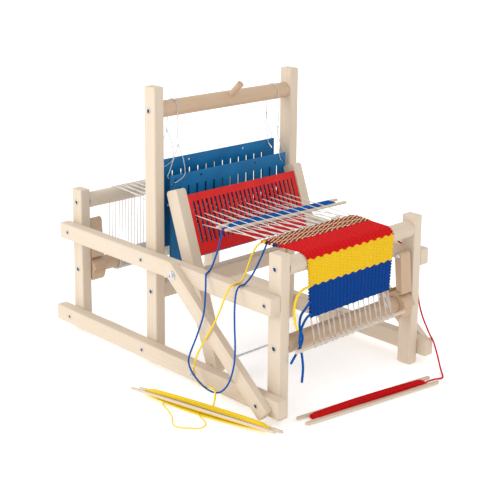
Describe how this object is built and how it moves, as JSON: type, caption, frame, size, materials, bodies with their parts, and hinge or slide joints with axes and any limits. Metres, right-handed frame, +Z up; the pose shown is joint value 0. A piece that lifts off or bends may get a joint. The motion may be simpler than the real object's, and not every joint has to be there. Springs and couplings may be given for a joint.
{
  "type": "table loom",
  "caption": "Wooden toy table loom with tall heddle posts, roller, blue heddles, red swinging reed, ratchet beams, woven cloth and stick shuttles.",
  "frame": {"origin": "on the table, under the middle of the wooden frame", "axes": "+Z up, +Y towards the warp beam at the back, -Y towards the weaver, +X to the weaver's right"},
  "size_m": [0.5092, 0.6531, 0.486],
  "materials": {
    "pine": "planed and sanded, unvarnished",
    "steel": "bright zinc plated",
    "red_plastic": "smooth moulded",
    "blue_plastic": "smooth moulded",
    "cord": "braided white cord",
    "cotton": "twisted cotton yarn",
    "woven_cloth": "hand-woven wool in bands of colour",
    "red_yarn": "soft wool yarn",
    "blue_yarn": "soft wool yarn",
    "yellow_yarn": "soft wool yarn"
  },
  "bodies": {
    "frame": {"post_front_left": "pine", "post_front_right": "pine", "post_tall_left": "pine", "post_tall_right": "pine", "post_back_left": "pine", "post_back_right": "pine", "rail_bottom_left": "pine", "rail_bottom_right": "pine", "rail_middle_left": "pine", "rail_middle_right": "pine", "brace_left": "pine", "brace_right": "pine", "brace_bolt_left": "steel", "brace_bolt_right": "steel", "back_beam": "pine", "breast_beam": "pine", "lower_bar": "pine", "pivot_rod": "steel", "pivot_nut_left": "steel", "pivot_nut_right": "steel", "roller_cord_left": "cord", "roller_cord_right": "cord", "warp_threads": "cotton", "cloth": "woven_cloth", "cloth_leaders": "cotton", "cloth_stick": "pine", "warp_pawl_screw": "steel", "cloth_pawl_screw": "steel", "strand_blue": "blue_yarn", "strand_yellow": "yellow_yarn", "strand_red": "red_yarn"},
    "beater": {"beater_arm_left": "pine", "beater_arm_right": "pine", "reed": "red_plastic"},
    "roller": {"harness_roller": "pine", "roller_peg": "pine"},
    "front_heddle": {"heddle_front": "blue_plastic", "heddle_cord_front_left": "cord", "heddle_cord_front_right": "cord"},
    "rear_heddle": {"heddle_rear": "blue_plastic", "heddle_cord_rear_left": "cord", "heddle_cord_rear_right": "cord"},
    "warp_beam": {"warp_beam": "pine", "warp_ratchet": "pine", "warp_winding": "cotton"},
    "warp_pawl": {"warp_pawl": "pine"},
    "cloth_beam": {"cloth_beam": "pine", "cloth_ratchet": "pine", "cloth_beam_peg": "pine"},
    "cloth_pawl": {"cloth_pawl": "pine"},
    "blue_shuttle": {"shuttle_blue": "pine", "yarn_blue": "blue_yarn"},
    "yellow_shuttle": {"shuttle_yellow": "pine", "yarn_yellow": "yellow_yarn", "strand_yellow_loop": "yellow_yarn"},
    "red_shuttle": {"shuttle_red": "pine", "yarn_red": "red_yarn"}
  },
  "joints": [
    {"name": "beater_swing", "type": "hinge", "parent": "frame", "child": "beater", "pos_m": [0, -0.094, 0.0294], "axis": [1, 0, 0], "range_deg": [0, 9.5]},
    {"name": "roller_turn", "type": "hinge", "parent": "frame", "child": "roller", "pos_m": [0, 0.041, 0.445], "axis": [1, 0, 0], "range_deg": [-87, 0]},
    {"name": "front_heddle_lift", "type": "slide", "parent": "frame", "child": "front_heddle", "axis": [0, 0, 1], "range_m": [0, 0.022], "deforming": ["heddle_cord_front_left", "heddle_cord_front_right", "warp_threads"]},
    {"name": "rear_heddle_drop", "type": "slide", "parent": "frame", "child": "rear_heddle", "axis": [0, 0, 1], "range_m": [-0.0221, 0], "deforming": ["heddle_cord_rear_left", "heddle_cord_rear_right"]},
    {"name": "warp_beam_turn", "type": "hinge", "parent": "frame", "child": "warp_beam", "pos_m": [0, 0.253, 0.1165], "axis": [1, 0, 0], "continuous": true},
    {"name": "warp_pawl_lift", "type": "hinge", "parent": "frame", "child": "warp_pawl", "pos_m": [-0.1365, 0.247, 0.2044], "axis": [1, 0, 0], "range_deg": [-60, 0]},
    {"name": "cloth_beam_turn", "type": "hinge", "parent": "frame", "child": "cloth_beam", "pos_m": [0, -0.261, 0.1165], "axis": [1, 0, 0], "range_deg": [-245, 5]},
    {"name": "cloth_pawl_lift", "type": "hinge", "parent": "frame", "child": "cloth_pawl", "pos_m": [0.13, -0.267, 0.2044], "axis": [1, 0, 0], "range_deg": [-60, 0]},
    {"name": "blue_shuttle_slide", "type": "slide", "parent": "frame", "child": "blue_shuttle", "axis": [0.9985, -0.0544, 0], "range_m": [-0.28, 0.28], "deforming": ["strand_blue"]},
    {"name": "yellow_shuttle_slide", "type": "slide", "parent": "frame", "child": "yellow_shuttle", "axis": [-1, 0, 0], "range_m": [0, 0.1], "deforming": ["strand_yellow"]},
    {"name": "red_shuttle_lift", "type": "slide", "parent": "frame", "child": "red_shuttle", "axis": [0, 0, 1], "range_m": [0, 0.1], "deforming": ["strand_red"]}
  ],
  "couplings": [
    {"joint": "roller_turn", "follows": "front_heddle_lift", "rad_per_m": -68.966},
    {"joint": "rear_heddle_drop", "follows": "front_heddle_lift", "ratio": -1}
  ]
}
